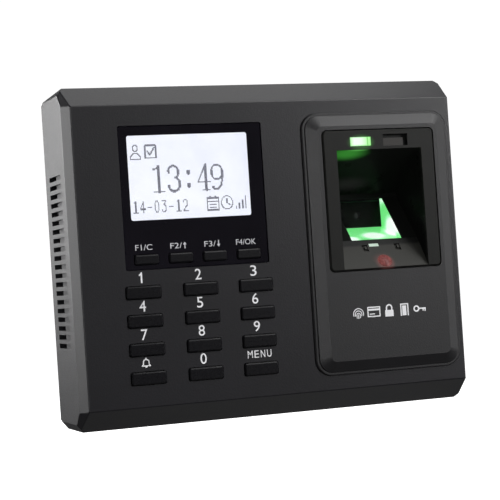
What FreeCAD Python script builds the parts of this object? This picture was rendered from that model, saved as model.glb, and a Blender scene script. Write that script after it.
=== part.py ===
import FreeCAD, Part
import math
import os

# Wall-mounted fingerprint access terminal.
# Millimetres.  +X is to the right as a user faces the terminal, +Z is up and
# the front faces -Y.  The origin is the centre of the flat back, on the wall.

os.makedirs("parts", exist_ok=True)
V = FreeCAD.Vector

# ---------------------------------------------------------------- dimensions
# case
case_half_w = 85.0
case_half_h = 68.6
face_half_w = 82.2
face_half_h = 60.0
face_y = -40.0
side_bevel_y = -35.0
top_bevel_y = -28.0
corner_cut_x = 2.6
corner_cut_z = 3.2
top_fall = 2.6
rear_inset = 0.5
edge_round = 0.7
wall = 2.4
face_wall = 3.0
split_y = -4.0
lip_depth = 4.0
lip_gap = 0.25

# side ventilation
vent_count = 20
vent_pitch = 3.55
vent_height = 1.9
vent_front_y = -28.5
vent_rear_y = -9.0
vent_scoop_y = -16.0
vent_scoop_shallow = 0.3
vent_scoop_deep = 1.2

# display
window_x0 = -63.8
window_x1 = -3.2
window_z0 = -5.8
window_z1 = 51.7
window_gap = 0.2
window_recess = 1.6
window_thick = 1.0
mask_thick = 0.2
window_corner = 0.9
screen_x0 = -60.0
screen_x1 = -9.3
screen_z0 = 14.0
screen_z1 = 47.8

# keys
key_w = 14.3
key_h = 4.9
key_gap = 0.3
key_corner = 0.7
key_bevel = 0.5
key_front_y = -41.0
key_columns = [-57.2, -33.3, -9.7]
key_rows = [-14.6, -25.9, -37.2, -48.5]
key_names = [["key_1", "key_2", "key_3"], ["key_4", "key_5", "key_6"],
             ["key_7", "key_8", "key_9"], ["key_bell", "key_0", "key_menu"]]
fkey_w = 10.0
fkey_h = 3.8
fkey_front_y = -40.5
fkey_columns = [-54.9, -40.6, -26.3, -11.8]
fkey_row = -1.7
flange_over = 1.1
key_board_y = -31.3
switch_tall = 2.2
stem_end_y = -34.6

# raised sensor panel and the black frame in it
panel_x0 = 14.2
panel_x1 = 80.4
panel_z0 = -54.0
panel_z1 = 54.4
panel_rise = 3.0
panel_rim = 1.2
panel_rim_rise = 0.8
panel_groove_left = 0.45
panel_groove = 0.06
panel_rim_bevel = 0.45
panel_bevel = 4.4
panel_bevel_rise = 2.0
panel_corner = 7.0
panel_inner_corner = 2.4
frame_x0 = 22.4
frame_x1 = 72.7
frame_z0 = -11.3
frame_z1 = 46.7
frame_front_y = -43.4
frame_gap = 0.45
cavity_x0 = 28.3
cavity_x1 = 66.9
cavity_wall = 1.5
# finger cavity seen from the side, as (y, z) corners
glass_top = (-16.0, 19.6)
glass_low = (-34.0, 1.2)
ramp_end = (-42.94, -10.72)
opening_low = -10.3
cavity_profile = [(-44.0, 39.0), (-30.0, 30.3), (-16.0, 21.5), glass_top,
                  glass_low, ramp_end, (-44.0, -10.72)]
cavity_back = [(-40.0, 38.3), (-29.3, 31.9), (-14.4, 22.6), (-14.4, 19.1),
               (-32.93, 0.15), (-40.0, -9.27)]
# openings for the two lights, their lenses and how far each lens sits back: (x0, x1, z0, z1)
green_hole = (34.6, 44.2, 40.1, 43.9)
green_lens = (34.7, 44.1, 40.2, 43.8)
green_back = 0.35
red_hole = (49.6, 60.8, 39.8, 44.7)
red_lens = (49.7, 59.1, 39.9, 43.1)
red_back = 0.9
ramp_light_x = 47.9
ramp_light_r = 3.0
ramp_light_up = 3.4
latch_columns = (41.2, 56.1)
latch_up = 8.7
guide_tab_x = 45.6
guide_tab_up = 11.2
prism_x0 = 36.6
prism_x1 = 58.6
prism_floor = (-16.0, 6.7)
lens_z = 12.0

# boards
board_thick = 1.6
main_board_y = -18.0
main_x0 = -72.0
main_x1 = 20.0
main_half_h = 54.0

# wall plate
plate_half_w = 80.0
plate_half_h = 62.0
plate_thick = 1.5
wall_hole_x = 55.0
wall_hole_z = 45.0
wall_hole_r = 2.25
outlet_x0 = -44.0
outlet_x1 = 18.0
outlet_z0 = -46.0
outlet_z1 = -20.0


# ------------------------------------------------------------------- helpers
def box(x0, x1, y0, y1, z0, z1):
    """Plain block between two corners."""
    return Part.makeBox(x1 - x0, y1 - y0, z1 - z0, V(x0, y0, z0))


def rod_y(x, z, y0, y1, r):
    """Round bar along Y."""
    return Part.makeCylinder(r, y1 - y0, V(x, y0, z), V(0, 1, 0))


def rod_x(y, z, x0, x1, r):
    """Round bar along X."""
    return Part.makeCylinder(r, x1 - x0, V(x0, y, z), V(1, 0, 0))


def rod_z(x, y, z0, z1, r):
    """Round bar along Z."""
    return Part.makeCylinder(r, z1 - z0, V(x, y, z0), V(0, 0, 1))


def slab_yz(points, x0, x1):
    """Outline in the YZ plane, drawn out along X."""
    corners = [V(x0, y, z) for y, z in points]
    face = Part.Face(Part.makePolygon(corners + [corners[0]]))
    return face.extrude(V(x1 - x0, 0, 0))


def slab_xy(points, z0, z1):
    """Outline in the XY plane, drawn out along Z."""
    corners = [V(x, y, z0) for x, y in points]
    face = Part.Face(Part.makePolygon(corners + [corners[0]]))
    return face.extrude(V(0, 0, z1 - z0))


def slab_xz(points, y0, y1):
    """Outline in the XZ plane, drawn out along Y."""
    corners = [V(x, y0, z) for x, z in points]
    face = Part.Face(Part.makePolygon(corners + [corners[0]]))
    return face.extrude(V(0, y1 - y0, 0))


def rounded(x0, x1, y0, y1, z0, z1, r):
    """Block whose four edges along Y are rounded."""
    body = box(x0, x1, y0, y1, z0, z1)
    edges = []
    for edge in body.Edges:
        a = edge.Vertexes[0].Point
        b = edge.Vertexes[1].Point
        if abs(a.x - b.x) < 1e-6 and abs(a.z - b.z) < 1e-6:
            edges.append(edge)
    return body.makeFillet(r, edges)


def rounded_outline(x0, x1, z0, z1, r, y):
    """Closed outline of a rectangle with round corners, at depth y."""
    k = r * (1 - math.sqrt(0.5))
    edges = []
    corners = [(x1 - r, z0, x1 - k, z0 + k, x1, z0 + r), (x1, z1 - r, x1 - k, z1 - k, x1 - r, z1),
               (x0 + r, z1, x0 + k, z1 - k, x0, z1 - r), (x0, z0 + r, x0 + k, z0 + k, x0 + r, z0)]
    for i, (ax, az, mx, mz, bx, bz) in enumerate(corners):
        edges.append(Part.Arc(V(ax, y, az), V(mx, y, mz), V(bx, y, bz)).toShape())
        nx, nz = corners[(i + 1) % 4][:2]
        edges.append(Part.LineSegment(V(bx, y, bz), V(nx, y, nz)).toShape())
    return Part.Wire(edges)


def soften_front(body, y, size):
    """Chamfers every edge that lies in the plane at depth y."""
    edges = []
    for edge in body.Edges:
        if all(abs(v.Point.y - y) < 1e-6 for v in edge.Vertexes):
            edges.append(edge)
    return body.makeChamfer(size, edges)


def fuse(shapes):
    """One solid from several that touch."""
    body = shapes[0]
    for shape in shapes[1:]:
        body = body.fuse(shape)
    return body.removeSplitter()


def cut(body, tools):
    """Takes each tool away from the body."""
    for tool in tools:
        body = body.cut(tool)
    return body


def save(name, shapes):
    """Writes one node: a solid, or a group of separate solids."""
    if not isinstance(shapes, list):
        shapes = [shapes]
    solids = []
    for shape in shapes:
        solids.extend(shape.Solids)
    if len(solids) == 1:
        out = solids[0]
    else:
        out = Part.makeCompound(solids)
    out.exportStep("parts/" + name + ".step")


def case_form(inset, front, y1):
    """The case's outer form, or the same form drawn in by a wall."""
    w = case_half_w - inset
    h = case_half_h - inset
    fw = face_half_w - inset * 0.6
    fh = face_half_h - inset * 0.55
    y0 = face_y + front
    cx = corner_cut_x
    cz = corner_cut_z
    section = [(-w + cx, -h), (w - cx, -h), (w, -h + cz), (w, h - cz),
               (w - cx, h), (-w + cx, h), (-w, h - cz), (-w, -h + cz)]
    body = slab_xz(section, y0, y1)
    plan = [(-fw, y0), (fw, y0), (w, side_bevel_y + front * 0.5), (w, y1),
            (-w, y1), (-w, side_bevel_y + front * 0.5)]
    body = body.common(slab_xy(plan, -h - 1, h + 1))
    # the top falls away gently towards the wall
    bevel_y = top_bevel_y + inset * 0.4
    slope = top_fall / top_bevel_y
    side = [(y0, -fh), (bevel_y, -h), (y1, -h), (y1, h + slope * (y1 - top_bevel_y)),
            (bevel_y, h + slope * (bevel_y - top_bevel_y)), (y0, fh)]
    body = body.common(slab_yz(side, -w - 1, w + 1))
    # the facet where a side bevel and a top bevel meet
    for sx in (-1, 1):
        for sz in (-1, 1):
            c0 = V(sx * fw, y0, sz * fh)
            f1 = V(sx * w, y0 + 5.0, sz * (fh + 0.3))
            g = V(sx * w, y0 + 10.2, sz * (fh + 5.0))
            out = (f1 - c0).cross(g - c0)
            out.normalize()
            if out.x * sx < 0:
                out = out * -1
            block = Part.makeBox(60, 60, 30, V(-30, -30, 0))
            block.Placement = FreeCAD.Placement(c0 + out * 0.02, FreeCAD.Rotation(V(0, 0, 1), out))
            body = body.cut(block)
    return body


def key_hole(x, z, w, h):
    """Opening in the face for one key."""
    return rounded(x - w / 2 - key_gap, x + w / 2 + key_gap, face_y - 2, face_y + 6,
                   z - h / 2 - key_gap, z + h / 2 + key_gap, key_corner + key_gap)


def stalk_block(lens, y0, y1, spare):
    """Block behind a light's lens, as its stalk or as the hole for it."""
    x0, x1, z0, z1 = lens
    return box(x0 + 0.7 - spare, x1 - 0.7 + spare, y0, y1, z0 + 0.5 - spare, z1 - 0.5 + spare)


def round_edges(body, rear_y, r):
    """Rounds every edge except those of the open rear rim."""
    edges = []
    for edge in body.Edges:
        if not all(abs(v.Point.y - rear_y) < 1e-6 for v in edge.Vertexes):
            edges.append(edge)
    return body.makeFillet(r, edges)


# --------------------------------------------------------------- front cover
outer = round_edges(case_form(0.0, 0.0, split_y), split_y, edge_round)
inner = case_form(wall, face_wall, split_y + 1.0)
shell = outer.cut(inner)

bosses = []
for sx in (-1, 1):
    for sz in (-1, 1):
        bosses.append(rod_y(sx * 77.0, sz * 58.0, face_y + 1.0, split_y - 0.3, 3.6))
# stand-offs behind the face for the key board and the display board
stand_offs = []
for x in (-45.25, -21.5):
    for z in (-20.2, -42.9):
        stand_offs.append((x, z, key_board_y, 2.5))
for x in (-66.0, -3.6):
    for z in (12.0, 50.0):
        stand_offs.append((x, z, -32.9, 2.2))
for x, z, y, r in stand_offs:
    bosses.append(rod_y(x, z, face_y + 1.8, y, r))
bosses = [b.common(outer) for b in bosses]
front_cover = fuse([shell] + bosses)

cuts = []
# recess and openings for the display window
cuts.append(rounded(window_x0, window_x1, face_y - 1, face_y + window_recess,
                    window_z0, window_z1, window_corner))
cuts.append(box(-62.0, -7.3, face_y - 1, face_y + 6, 12.0, 49.8))
for x in fkey_columns:
    cuts.append(key_hole(x, fkey_row, fkey_w, fkey_h))
# key openings
for row in key_rows:
    for x in key_columns:
        cuts.append(key_hole(x, row, key_w, key_h))
# ventilation slots in both side walls: a shallow scoop that runs back into an opening
scoop = [(case_half_w + 1, vent_front_y), (case_half_w - vent_scoop_shallow, vent_front_y),
         (case_half_w - vent_scoop_deep, vent_scoop_y), (case_half_w - 4, vent_scoop_y),
         (case_half_w - 4, vent_rear_y), (case_half_w + 1, vent_rear_y)]
for side in (-1, 1):
    for i in range(vent_count):
        z = (i - (vent_count - 1) / 2.0) * vent_pitch - 0.4
        cuts.append(slab_xy([(side * x, y) for x, y in scoop], z - vent_height / 2, z + vent_height / 2))
# opening for the finger cavity and its two light pipes
cuts.append(box(cavity_x0 - cavity_wall - 0.5, cavity_x1 + cavity_wall + 0.5, face_y - 1,
                face_y + 6, opening_low, 39.2))
for lens in (green_lens, red_lens):
    cuts.append(stalk_block(lens, face_y - 1, face_y + 6, 0.2))
# shadow gap around the raised panel, widest along its left side
cuts.append(rounded(panel_x0 - panel_groove_left, panel_x1 + panel_groove, face_y - 1, face_y + 0.6,
                    panel_z0 - panel_groove, panel_z1 + panel_groove,
                    panel_corner + panel_groove).cut(
    rounded(panel_x0, panel_x1, face_y - 2, face_y + 1, panel_z0, panel_z1, panel_corner)))
# pegs of the raised panel
peg_points = [(20.0, -48.0), (74.0, -48.0), (20.0, 48.0), (75.0, 48.0), (47.0, -48.0)]
for x, z in peg_points:
    cuts.append(rod_y(x, z, face_y - 1, face_y + 6, 1.3))
# screw pilots
for sx in (-1, 1):
    for sz in (-1, 1):
        cuts.append(rod_y(sx * 77.0, sz * 58.0, -18.0, 0.0, 1.45))
for x, z, y, r in stand_offs:
    cuts.append(rod_y(x, z, y - 3.5, y + 1, 1.05))
# lock screw in the underside
cuts.append(rod_z(0.0, -10.0, -70.0, -64.0, 1.7))
cuts.append(rod_z(0.0, -10.0, -70.0, -66.9, 3.2))
front_cover = cut(front_cover, cuts)
save("front_cover", front_cover)

# ---------------------------------------------------------------- rear cover
rear = case_form(rear_inset, 0.0, 0.0).cut(box(-90, 90, -60, split_y, -90, 90))
lip_out = case_form(wall + lip_gap, 10.0, split_y + 0.1)
lip_in = case_form(wall + lip_gap + 1.6, 10.0, split_y + 0.2)
lip_band = box(-90, 90, split_y - lip_depth, split_y + 0.1, -90, 90)
lip = lip_out.cut(lip_in).common(lip_band)
rear_bosses = []
for x in (main_x0 + 4, main_x1 - 4):
    for sz in (-1, 1):
        rear_bosses.append(rod_y(x, sz * 50.0, main_board_y + board_thick, split_y + 0.2, 3.0))
for sx in (-1, 1):
    for sz in (-1, 1):
        rear_bosses.append(rod_y(sx * wall_hole_x, sz * wall_hole_z, -7.0, split_y + 0.2, 8.0))
rear_cover = fuse([rear, lip] + rear_bosses)
cuts = [rounded(-plate_half_w - 0.3, plate_half_w + 0.3, -plate_thick - 0.1, 1.0,
                -plate_half_h - 0.3, plate_half_h + 0.3, 3.0)]
for sx in (-1, 1):
    for sz in (-1, 1):
        # room for the wall screws' heads
        cuts.append(rod_y(sx * wall_hole_x, sz * wall_hole_z, -5.5, 1.0, 6.5))
        # case screws: clear of the front cover's bosses, then bore and head seat
        cuts.append(rod_y(sx * 77.0, sz * 58.0, -12.0, split_y, 4.0))
        cuts.append(rod_y(sx * 77.0, sz * 58.0, -5.0, 1.0, 1.7))
        cuts.append(rod_y(sx * 77.0, sz * 58.0, -2.4, 1.0, 2.9))
for x in (main_x0 + 4, main_x1 - 4):
    for sz in (-1, 1):
        cuts.append(rod_y(x, sz * 50.0, -20.0, -10.0, 1.05))
cuts.append(rounded(outlet_x0, outlet_x1, -12.0, 1.0, outlet_z0, outlet_z1, 3.0))
# slots for the wall plate's hooks and its lock tab
for x in (-35.0, 35.0):
    cuts.append(box(x - 5.5, x + 5.5, -12.0, 0.0, 55.0, 61.0))
cuts.append(box(-8.0, 8.0, -18.0, 0.0, -61.8, -59.4))
cuts.append(box(-9.0, 9.0, -18.0, split_y, -66.0, -59.4))
rear_cover = cut(rear_cover, cuts)
save("rear_cover", rear_cover)

# ---------------------------------------------------------------- wall plate
plate = rounded(-plate_half_w, plate_half_w, -plate_thick, 0.0, -plate_half_h, plate_half_h, 3.0)
hooks = []
for x in (-35.0, 35.0):
    hooks.append(box(x - 5.0, x + 5.0, -7.5, -plate_thick + 0.1, 57.0, 58.5))
    hooks.append(box(x - 5.0, x + 5.0, -7.5, -6.0, 57.0, 60.6))
hooks.append(box(-7.5, 7.5, -16.0, -plate_thick + 0.1, -61.5, -60.0))
plate = fuse([plate] + hooks)
cuts = [rounded(outlet_x0 + 1, outlet_x1 - 1, -3.0, 1.0, outlet_z0 + 1, outlet_z1 - 1, 3.0)]
for sx in (-1, 1):
    for sz in (-1, 1):
        cuts.append(rod_y(sx * wall_hole_x, sz * wall_hole_z, -3.0, 1.0, wall_hole_r))
        cuts.append(rod_y(sx * 77.0, sz * 58.0, -3.0, 1.0, 4.0))
cuts.append(rod_z(0.0, -10.0, -62.0, -59.0, 1.5))
plate = cut(plate, cuts)
save("wall_plate", plate)

# -------------------------------------------------------------------- screws
lock = rod_z(0.0, -10.0, -67.6, -66.95, 3.0)
lock = lock.fuse(rod_z(0.0, -10.0, -67.0, -57.5, 1.45)).removeSplitter()
lock = lock.cut(box(-2.4, 2.4, -10.35, -9.65, -68.0, -67.3))
save("lock_screw", lock)


def machine_screw(x, z, y_head, length, r, head_r, head_t, step):
    """Pan head screw along Y; step is the way the shank runs."""
    if step < 0:
        head = rod_y(x, z, y_head, y_head + head_t, head_r)
        shank = rod_y(x, z, y_head - length, y_head + 0.01, r)
        slot = box(x - head_r, x + head_r, y_head + head_t - 0.4, y_head + head_t + 1,
                   z - 0.3, z + 0.3)
        return head.fuse(shank).removeSplitter().cut(slot)
    head = rod_y(x, z, y_head - head_t, y_head, head_r)
    shank = rod_y(x, z, y_head - 0.01, y_head + length, r)
    return head.fuse(shank).removeSplitter()


case_screws = []
for sx in (-1, 1):
    for sz in (-1, 1):
        case_screws.append(machine_screw(sx * 77.0, sz * 58.0, -2.4, 14.0, 1.4, 2.7, 1.6, -1))
save("case_screws", case_screws)
board_screws = []
for x, z, y, r in stand_offs:
    board_screws.append(machine_screw(x, z, y + board_thick, 4.8, 1.0, 2.0, 1.2, -1))
for x in (main_x0 + 4, main_x1 - 4):
    for sz in (-1, 1):
        board_screws.append(machine_screw(x, sz * 50.0, main_board_y, 4.8, 1.0, 2.0, 1.2, 1))
save("board_screws", board_screws)

# ------------------------------------------------------------------- display
wx0 = window_x0 + window_gap
wx1 = window_x1 - window_gap
wz0 = window_z0 + window_gap
wz1 = window_z1 - window_gap
ledge_y = face_y + window_recess
mask_y = ledge_y - mask_thick
window_r = window_corner - window_gap
window = rounded(wx0, wx1, mask_y - window_thick, mask_y, wz0, wz1, window_r)
window = soften_front(window, mask_y - window_thick, 0.25)
mask = rounded(wx0, wx1, mask_y, ledge_y, wz0, wz1, window_r)
mask = mask.cut(rounded(screen_x0, screen_x1, mask_y - 1, ledge_y + 1, screen_z0, screen_z1, window_corner))
for x in fkey_columns:
    hole = key_hole(x, fkey_row, fkey_w, fkey_h)
    window = window.cut(hole)
    mask = mask.cut(hole)
save("display_window", window)
save("display_mask", mask)
save("lcd_glass", box(-61.6, -7.7, -38.35, -36.6, 12.4, 49.4))
save("lcd_backlight", box(-61.6, -7.7, -36.55, -33.6, 12.4, 49.4))
lcd_frame = box(-62.9, -6.4, -36.9, -33.0, 10.9, 50.9)
lcd_frame = lcd_frame.cut(box(-61.7, -7.6, -39.0, -33.5, 12.3, 49.5))
for x in (-56.0, -13.0):
    for z in (15.0, 46.0):
        lcd_frame = lcd_frame.cut(rod_y(x, z, -34.0, -32.0, 3.0))
save("lcd_frame", lcd_frame)
lcd_board = box(-68.6, -1.0, -32.9, -31.3, 8.5, 53.5)
for x in (-66.0, -3.6):
    for z in (12.0, 50.0):
        lcd_board = lcd_board.cut(rod_y(x, z, -34.0, -30.0, 1.1))
lcd_plug = box(-46.0, -24.0, -31.35, -29.0, 28.0, 32.0)
save("lcd_board", fuse([lcd_board, lcd_plug]))


# ---------------------------------------------------------------------- keys
def key(x, z, w, h, front):
    """Key cap, the flange that keeps it in the cover and its stem."""
    cap = rounded(x - w / 2, x + w / 2, front, -36.2, z - h / 2, z + h / 2, key_corner)
    cap = soften_front(cap, front, key_bevel)
    fw = w / 2 + flange_over
    fh = h / 2 + flange_over
    flange = box(x - fw, x + fw, -36.6, -35.6, z - fh, z + fh)
    stem = rod_y(x, z, -35.7, stem_end_y, 1.6)
    return fuse([cap, flange, stem])


key_points = []
for r, row in enumerate(key_rows):
    for c, x in enumerate(key_columns):
        save(key_names[r][c], key(x, row, key_w, key_h, key_front_y))
        key_points.append((x, row))
for i, x in enumerate(fkey_columns):
    save("key_f%d" % (i + 1), key(x, fkey_row, fkey_w, fkey_h, fkey_front_y))
    key_points.append((x, fkey_row))

key_board = box(-68.6, -1.0, key_board_y, key_board_y + board_thick, -55.5, 5.5)
for x, z, y, r in stand_offs[:4]:
    key_board = key_board.cut(rod_y(x, z, -34.0, -28.0, 1.1))
key_plug = box(-38.0, -24.0, -29.75, -27.4, -6.0, -2.0)
save("key_board", fuse([key_board, key_plug]))
switches = []
for x, z in key_points:
    base = box(x - 3.0, x + 3.0, key_board_y - 1.7, key_board_y, z - 3.0, z + 3.0)
    dome = rod_y(x, z, key_board_y - switch_tall, key_board_y - 1.6, 1.5)
    switches.append(fuse([base, dome]))
save("key_switches", switches)

# -------------------------------------------------------------- raised panel
front_y = face_y - panel_rise
rim = rounded(panel_x0, panel_x1, face_y - panel_rim_rise, face_y, panel_z0, panel_z1, panel_corner)
rim = soften_front(rim, face_y - panel_rim_rise, panel_rim_bevel)
step = panel_rim + panel_groove
body_x0 = panel_x0 + panel_rim + panel_groove_left
body_x1 = panel_x1 - step
body_z0 = panel_z0 + step
body_z1 = panel_z1 - step
low_y = front_y + panel_bevel_rise
inner_corner = panel_corner - step
body = rounded(body_x0, body_x1, low_y, face_y, body_z0, body_z1, inner_corner)
crown = Part.makeLoft([
    rounded_outline(body_x0, body_x1, body_z0, body_z1, inner_corner, low_y),
    rounded_outline(body_x0 + panel_bevel, body_x1 - panel_bevel, body_z0 + panel_bevel,
                    body_z1 - panel_bevel, panel_inner_corner, front_y)], True, True)
groove = rounded(panel_x0 + panel_rim, panel_x1 - panel_rim, face_y - 2, face_y - 0.3,
                 panel_z0 + panel_rim, panel_z1 - panel_rim, panel_corner - panel_rim)
rim = rim.cut(groove)
panel = fuse([rim, body, crown])
panel = panel.cut(rounded(frame_x0 - frame_gap, frame_x1 + frame_gap, front_y - 2, face_y + 1,
                          frame_z0 - frame_gap, frame_z1 + frame_gap, 1.8 + frame_gap))
pegs = [rod_y(x, z, face_y - 0.2, face_y + 4.0, 1.2) for x, z in peg_points]
save("sensor_panel", fuse([panel] + pegs))

# -------------------------------------------------------------- sensor frame
ring = rounded(frame_x0, frame_x1, frame_front_y, face_y, frame_z0, frame_z1, 1.8)
ring = soften_front(ring, frame_front_y, 0.5)
hopper = slab_yz(cavity_back, cavity_x0 - cavity_wall, cavity_x1 + cavity_wall)
frame = fuse([ring, hopper])
frame = frame.cut(slab_yz(cavity_profile, cavity_x0, cavity_x1))
# window for the prism in the sloping lower wall
slope = V(0, glass_top[0] - glass_low[0], glass_top[1] - glass_low[1])
slope.normalize()
into = V(0, slope.z, -slope.y)
low = V(0, glass_low[0], glass_low[1])
top = V(0, glass_top[0], glass_top[1])
ring_points = [low - into * 1.0, top - into * 1.0, top + into * 3.0, low + into * 3.0]
glass_hole = slab_yz([(p.y, p.z) for p in ring_points], prism_x0 - 0.1, prism_x1 + 1.4)
frame = frame.cut(glass_hole)
# two light windows over the cavity
for (x0, x1, z0, z1), lens in ((green_hole, green_lens), (red_hole, red_lens)):
    frame = frame.cut(box(x0, x1, frame_front_y - 1, frame_front_y + 2.4, z0, z1))
    frame = frame.cut(stalk_block(lens, frame_front_y, face_y + 1, 0.1))
# seat of the round light at the end of the ramp
ramp = V(0, glass_low[0] - ramp_end[0], glass_low[1] - ramp_end[1])
ramp.normalize()
lift = V(0, -ramp.z, ramp.y)
light_at = V(ramp_light_x, ramp_end[0], ramp_end[1]) + ramp * ramp_light_up
seat = Part.makeCylinder(ramp_light_r + 0.1, 4.0, light_at - lift * 0.8, lift)
frame = frame.cut(seat)


def on_ramp(across, along, width, length, depth):
    """Block sunk in the ramp; across is its X, along runs up the ramp from its foot."""
    foot = V(0, ramp_end[0], ramp_end[1])
    low_edge = foot + ramp * along
    high_edge = low_edge + ramp * length
    outside = lift * 0.5
    inside = lift * -depth
    points = [low_edge + outside, high_edge + outside, high_edge + inside, low_edge + inside]
    return slab_yz([(p.y, p.z) for p in points], across - width / 2, across + width / 2)


# two latches at the top of the ramp: a pocket with a small hook standing in it
for x in latch_columns:
    pocket = on_ramp(x, latch_up, 2.6, 3.4, 0.9)
    hook = on_ramp(x + 0.35, latch_up + 1.3, 1.0, 1.5, 2.0)
    frame = frame.cut(pocket.cut(hook))
# slot where a tab of the light guide shows
frame = frame.cut(on_ramp(guide_tab_x, guide_tab_up, 4.4, 1.6, 0.8))
save("sensor_frame", frame)

dot = Part.makeCylinder(ramp_light_r, 2.2, light_at - lift * 0.78, lift)
cap = Part.makeSphere(5.4, light_at - lift * 4.3)
save("ramp_light", dot.common(cap))
for name, lens, back in (("green_light_pipe", green_lens, green_back),
                         ("red_light_pipe", red_lens, red_back)):
    x0, x1, z0, z1 = lens
    plate = box(x0, x1, frame_front_y + back, frame_front_y + 2.3, z0, z1)
    stalk = stalk_block(lens, frame_front_y + 2.2, -36.6, 0.0)
    save(name, fuse([plate, stalk]))
light_board = box(33.0, 61.0, -35.2, -33.9, 38.6, 46.0)
lamps = [box(x - 1.5, x + 1.5, -36.4, -35.1, 40.6, 42.6) for x in (39.4, 54.4)]
save("light_board", fuse([light_board] + lamps))

# --------------------------------------------------------------------- prism
# a small flat along its upper edge catches the light
glass_edge = (glass_top[0] - slope.y * 0.6, glass_top[1] - slope.z * 0.6)
prism = slab_yz([glass_low, glass_edge, (glass_top[0], glass_top[1] - 0.6), prism_floor],
                prism_x0, prism_x1)
save("prism", prism)
guide_floor = slab_yz([(-33.2, 1.38), (-16.0, 6.62), (-16.0, 5.0), (-32.0, 0.6)],
                      prism_x0, prism_x1 + 1.2)
guide_side = slab_yz([(-33.2, 1.4), (-16.0, 19.2), (-16.0, 5.0), (-32.0, 0.6)],
                     prism_x1 + 0.06, prism_x1 + 1.2)
guide_tab = on_ramp(guide_tab_x, guide_tab_up + 0.05, 4.3, 1.5, 0.75)
guide_tab = guide_tab.cut(on_ramp(guide_tab_x, 0.0, 60.0, 16.0, 0.05))
save("prism_light_guide", [fuse([guide_floor, guide_side]), guide_tab])
baffle = box(prism_x0, prism_x1, -15.94, -15.2, 5.0, 18.0)
baffle = baffle.cut(rod_y(47.6, lens_z, -17.0, -14.0, 1.6))
save("prism_baffle", baffle)

holder_x0 = prism_x0 - 3.1
holder_x1 = prism_x1 + 4.1
holder = slab_yz([(-31.4, 1.2), (-15.2, 17.7), (-13.2, 17.7), (-13.2, -4.0), (-31.4, -4.0)],
                 holder_x0, holder_x1)
holder = holder.cut(slab_yz([(-33.0, -2.0), (-33.0, 2.5), (-14.9, 21.0), (-14.9, -2.0)],
                            prism_x0 - 0.2, prism_x1 + 1.5))
ribs = []
for x0, x1 in ((prism_x0 - 0.3, prism_x0 + 1.4), (prism_x1 - 0.2, prism_x1 + 1.6)):
    ribs.append(slab_yz([(-30.0, -2.1), (-30.0, 0.9), (-15.0, 5.0), (-15.0, -2.1)], x0, x1))
feet = []
for x in (30.5, 64.7):
    feet.append(box(x - 3.2, x + 3.2, -13.9, -12.4, -6.0, 20.0))
feet.append(box(holder_x0, holder_x1, -13.9, -12.4, -4.0, 12.0))
foot_points = [(30.5, -3.0), (30.5, 17.0), (64.7, -3.0), (64.7, 17.0)]
for x, z in foot_points:
    feet.append(rod_y(x, z, -12.5, -10.7, 2.4))
holder = fuse([holder] + ribs + feet)
holder = cut(holder, [rod_y(47.6, lens_z, -16.0, -10.0, 3.4)])
holder = cut(holder, [rod_y(x, z, -16.0, -10.0, 1.2) for x, z in foot_points])
save("prism_holder", holder)
led_strip = box(prism_x0 + 1.8, prism_x1 - 0.6, -29.5, -16.5, -1.95, -0.95)
leds = []
for i in range(4):
    x = prism_x0 + 4.5 + i * 4.3
    leds.append(box(x - 1.2, x + 1.2, -25.0, -22.0, -1.0, 0.2))
save("prism_leds", fuse([led_strip] + leds))

barrel = rod_y(47.6, lens_z, -15.1, -11.9, 3.2).cut(rod_y(47.6, lens_z, -16.0, -13.5, 1.5))
barrel = fuse([barrel, box(43.6, 51.6, -12.0, -10.8, lens_z - 4.0, lens_z + 4.0)])
save("imaging_camera", barrel)
sensor_board = box(26.0, 69.2, -10.7, -9.1, -12.0, 27.0)
sensor_board = cut(sensor_board, [rod_y(x, z, -12.0, -8.0, 1.2) for x, z in foot_points])
sensor_chip = box(42.0, 53.0, -9.15, -7.9, -6.0, 5.0)
sensor_plug = box(58.0, 68.0, -9.15, -6.8, 20.0, 24.0)
save("sensor_board", fuse([sensor_board, sensor_chip, sensor_plug]))
holder_screws = []
for x, z in foot_points:
    holder_screws.append(machine_screw(x, z, -9.1, 5.0, 1.0, 2.0, 1.2, -1))
save("sensor_screws", holder_screws)

# ---------------------------------------------------------------- main board
main_rear = main_board_y + board_thick
main_board = box(main_x0, main_x1, main_board_y, main_rear, -main_half_h, main_half_h)
for x in (main_x0 + 4, main_x1 - 4):
    for sz in (-1, 1):
        main_board = main_board.cut(rod_y(x, sz * 50.0, -20.0, -10.0, 1.1))
main_board = fuse([main_board, box(8.0, 14.0, main_rear - 0.1, -13.0, 21.0, 27.0)])
save("main_board", main_board)
chips = []
for x, z, w, h, t in ((-30, 14, 17, 17, 1.6), (-6, 18, 12, 18, 1.2), (-6, -6, 12, 9, 1.2),
                      (-34, -12, 9, 7, 1.2), (-58, -8, 8, 6, 1.0)):
    chips.append(box(x - w / 2, x + w / 2, main_board_y - t, main_board_y, z - h / 2, z + h / 2))
save("processor_chips", chips)
caps = []
for x, z, r, t in ((10, 40, 3.2, 7), (10, 31, 3.2, 7), (-64, -30, 2.5, 5.5), (-64, -38, 2.5, 5.5)):
    caps.append(rod_y(x, z, main_board_y - t, main_board_y, r))
save("board_capacitors", caps)
save("door_relay", box(-16, 4, main_board_y - 8, main_board_y, -46, -31))
save("buzzer", fuse([rod_y(-50, -26, main_board_y - 7, main_board_y, 6.0),
                     rod_y(-50, -26, main_board_y - 7.4, main_board_y - 6.9, 1.2)]))
holder_ring = rod_y(-50, 34, main_board_y - 4.2, main_board_y, 12.0)
holder_ring = holder_ring.cut(rod_y(-50, 34, main_board_y - 6, main_board_y - 0.8, 10.3))
holder_ring = holder_ring.cut(box(-54, -46, main_board_y - 6, main_board_y - 0.8, 40, 50))
save("cell_holder", holder_ring)
save("coin_cell", rod_y(-50, 34, main_board_y - 4.0, main_board_y - 0.85, 10.0))

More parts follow.
